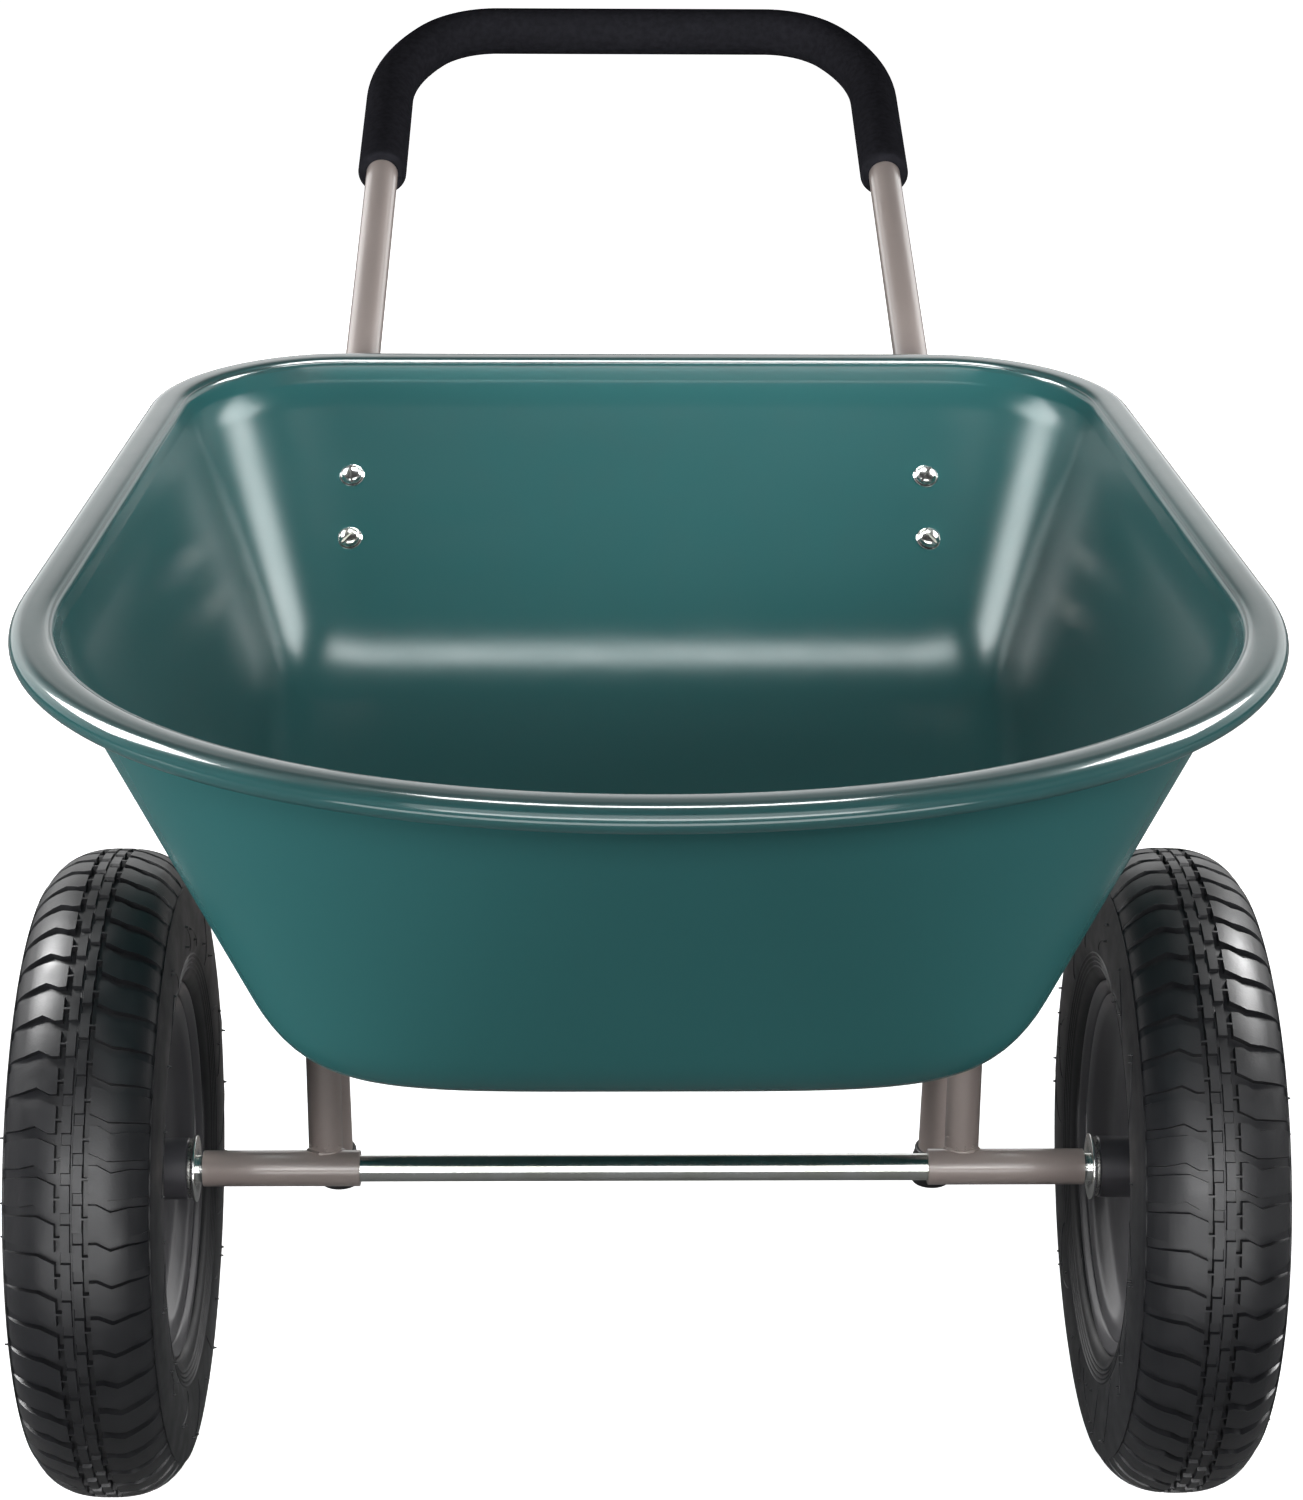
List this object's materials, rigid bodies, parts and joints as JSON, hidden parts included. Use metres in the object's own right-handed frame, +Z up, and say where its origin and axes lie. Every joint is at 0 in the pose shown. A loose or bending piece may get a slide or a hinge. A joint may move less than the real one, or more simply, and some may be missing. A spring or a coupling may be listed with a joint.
{
  "type": "wheelbarrow",
  "caption": "Garden wheelbarrow with a deep pressed tray, a bent tube frame with a looped push handle, rear legs, and pneumatic wheels on a through axle.",
  "frame": {"origin": "on the ground, at the centre of the bounding box's base", "axes": "+X to the right-hand wheel as the picture shows it (looking at the nose), +Y from the nose towards the push handle, +Z up"},
  "size_m": [0.684, 1.202, 0.7045],
  "materials": {
    "tray_green": "semi-gloss dark green enamel",
    "frame_grey": "satin warm grey enamel",
    "foam": "matt closed-cell foam",
    "foot_plastic": "matt black",
    "zinc": "bright zinc plate",
    "bearing_steel": "plain pressed steel",
    "rim_grey": "satin dark grey enamel",
    "tyre": "matt black rubber",
    "valve_rubber": "matt black rubber"
  },
  "bodies": {
    "barrow": {"tray": "tray_green", "handle_tube": "frame_grey", "left_side_rail": "frame_grey", "right_side_rail": "frame_grey", "left_axle_sleeve": "frame_grey", "right_axle_sleeve": "frame_grey", "left_leg": "frame_grey", "right_leg": "frame_grey", "foam_grip": "foam", "left_foot": "foot_plastic", "right_foot": "foot_plastic", "axle_rod": "zinc", "rear_wall_bolts": "zinc", "rear_wall_nuts": "zinc", "floor_bolts": "zinc", "floor_spacers": "zinc", "floor_nuts": "zinc", "leg_bolts": "zinc", "leg_nuts": "zinc", "inner_washers": "zinc", "outer_washers": "zinc", "left_cotter_pin": "zinc", "right_cotter_pin": "zinc"},
    "left_wheel": {"left_tyre": "tyre", "left_inner_tube": "valve_rubber", "left_rim_band": "rim_grey", "left_disc_inner": "rim_grey", "left_disc_outer": "rim_grey", "left_hub": "rim_grey", "left_bearing_inner": "bearing_steel", "left_bearing_outer": "bearing_steel", "left_valve_stem": "valve_rubber", "left_valve_cap": "valve_rubber"},
    "right_wheel": {"right_tyre": "tyre", "right_inner_tube": "valve_rubber", "right_rim_band": "rim_grey", "right_disc_inner": "rim_grey", "right_disc_outer": "rim_grey", "right_hub": "rim_grey", "right_bearing_inner": "bearing_steel", "right_bearing_outer": "bearing_steel", "right_valve_stem": "valve_rubber", "right_valve_cap": "valve_rubber"}
  },
  "joints": [
    {"name": "left_wheel_spin", "type": "hinge", "parent": "barrow", "child": "left_wheel", "pos_m": [-0.29, -0.295, 0.178], "axis": [1, 0, 0], "continuous": true},
    {"name": "right_wheel_spin", "type": "hinge", "parent": "barrow", "child": "right_wheel", "pos_m": [0.29, -0.295, 0.178], "axis": [1, 0, 0], "continuous": true}
  ]
}
